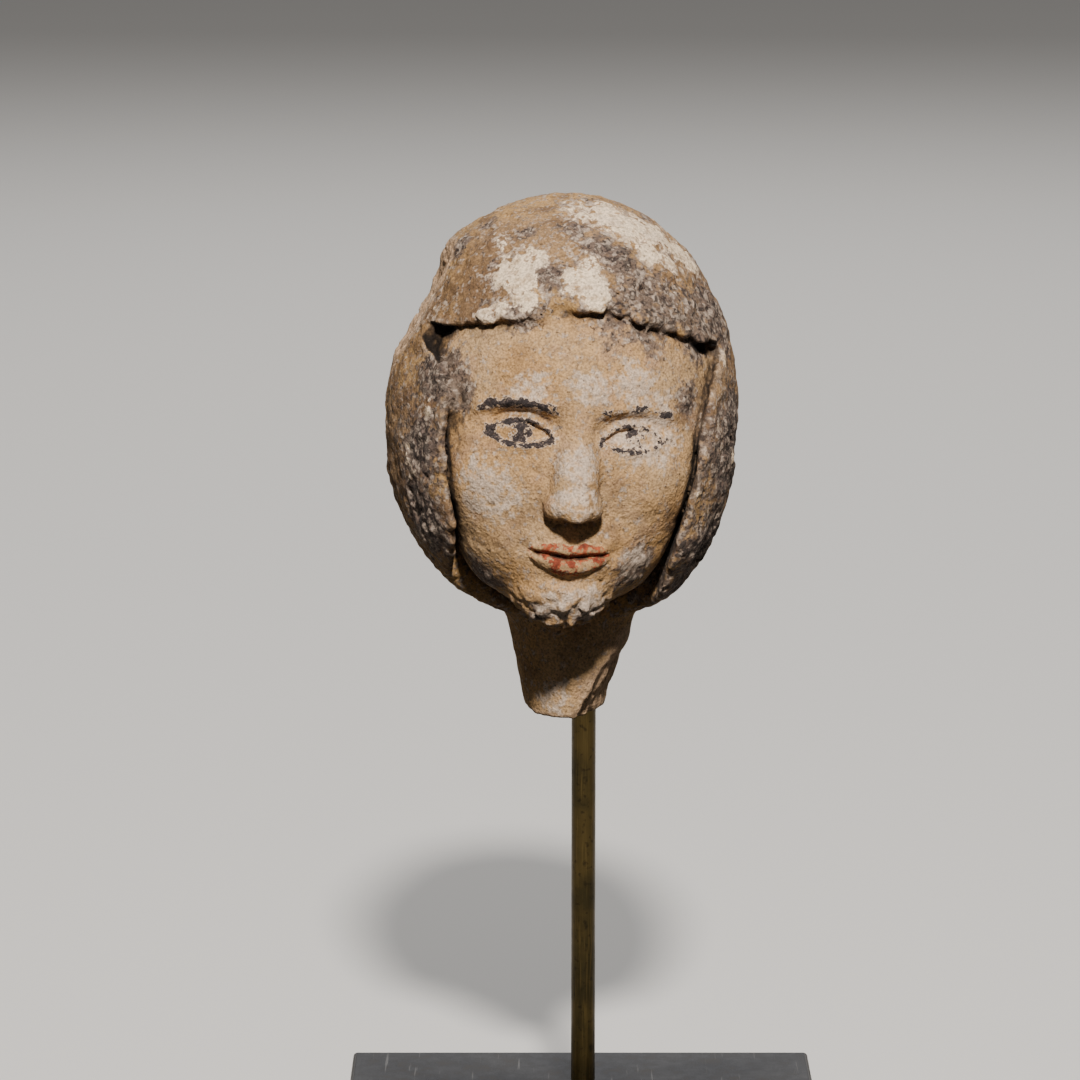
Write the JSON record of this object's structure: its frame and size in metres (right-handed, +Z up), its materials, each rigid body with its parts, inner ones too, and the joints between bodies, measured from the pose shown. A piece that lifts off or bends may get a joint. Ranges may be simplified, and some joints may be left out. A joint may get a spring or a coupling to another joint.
{
  "type": "limestone head sculpture",
  "caption": "Small carved limestone head in a plain headcloth, broken at the neck, held upright by a thin brass rod on a low square foot.",
  "frame": {"origin": "centre of the foot's underside, on the rod's axis", "axes": "+Z up along the rod, the face looks towards -Y, +X to the viewer's right"},
  "size_m": [0.1, 0.1, 0.2057],
  "materials": {
    "limestone": "weathered granular limestone, warm beige to tan, with remains of pale plaster and of black and red paint",
    "dull_brass": "tarnished, brushed along its length",
    "blackened_steel": "satin blackened steel"
  },
  "bodies": {
    "root": {"limestone_head": "limestone", "support_rod": "dull_brass", "base_plate": "blackened_steel"}
  },
  "joints": []
}
